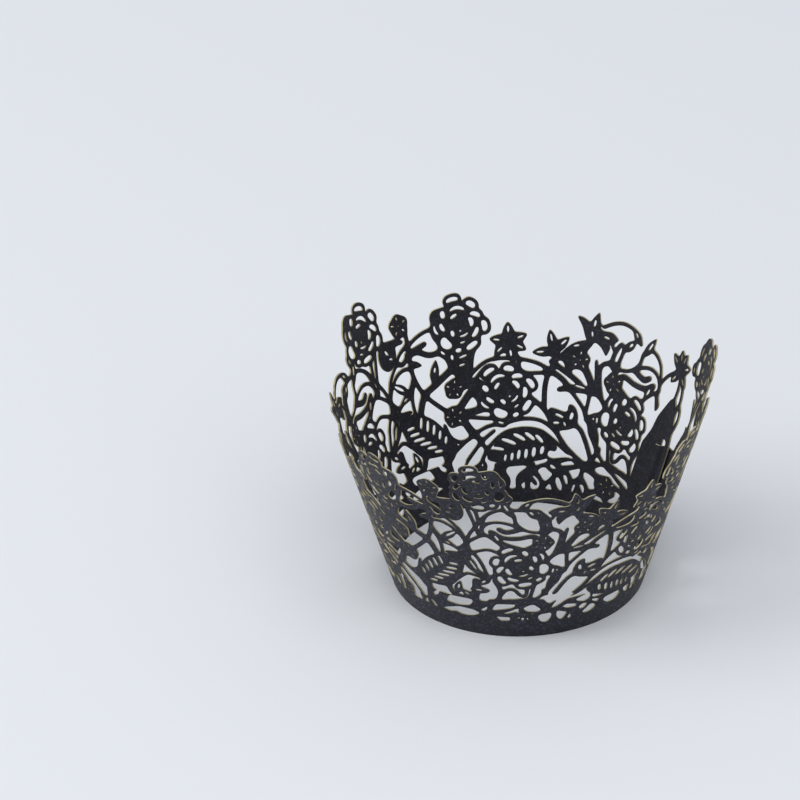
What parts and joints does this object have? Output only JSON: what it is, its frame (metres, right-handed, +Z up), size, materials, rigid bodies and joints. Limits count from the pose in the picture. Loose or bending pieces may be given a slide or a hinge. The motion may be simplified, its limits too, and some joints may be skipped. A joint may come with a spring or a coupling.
{
  "type": "cupcake wrapper",
  "caption": "Bottomless conical wrapper of laser-cut card with an openwork of roses, leaves and stems, closed by a tongue through a slit.",
  "frame": {"origin": "middle of the overall width and depth, on the table at the foot", "axes": "+Z up along the cone's axis, the lap of the two ends towards +X and a little +Y"},
  "size_m": [0.0764, 0.0758, 0.0473],
  "materials": {
    "pearl_card": "pearlescent satin"
  },
  "bodies": {
    "root": {"lace_wrapper": "pearl_card"}
  },
  "joints": []
}
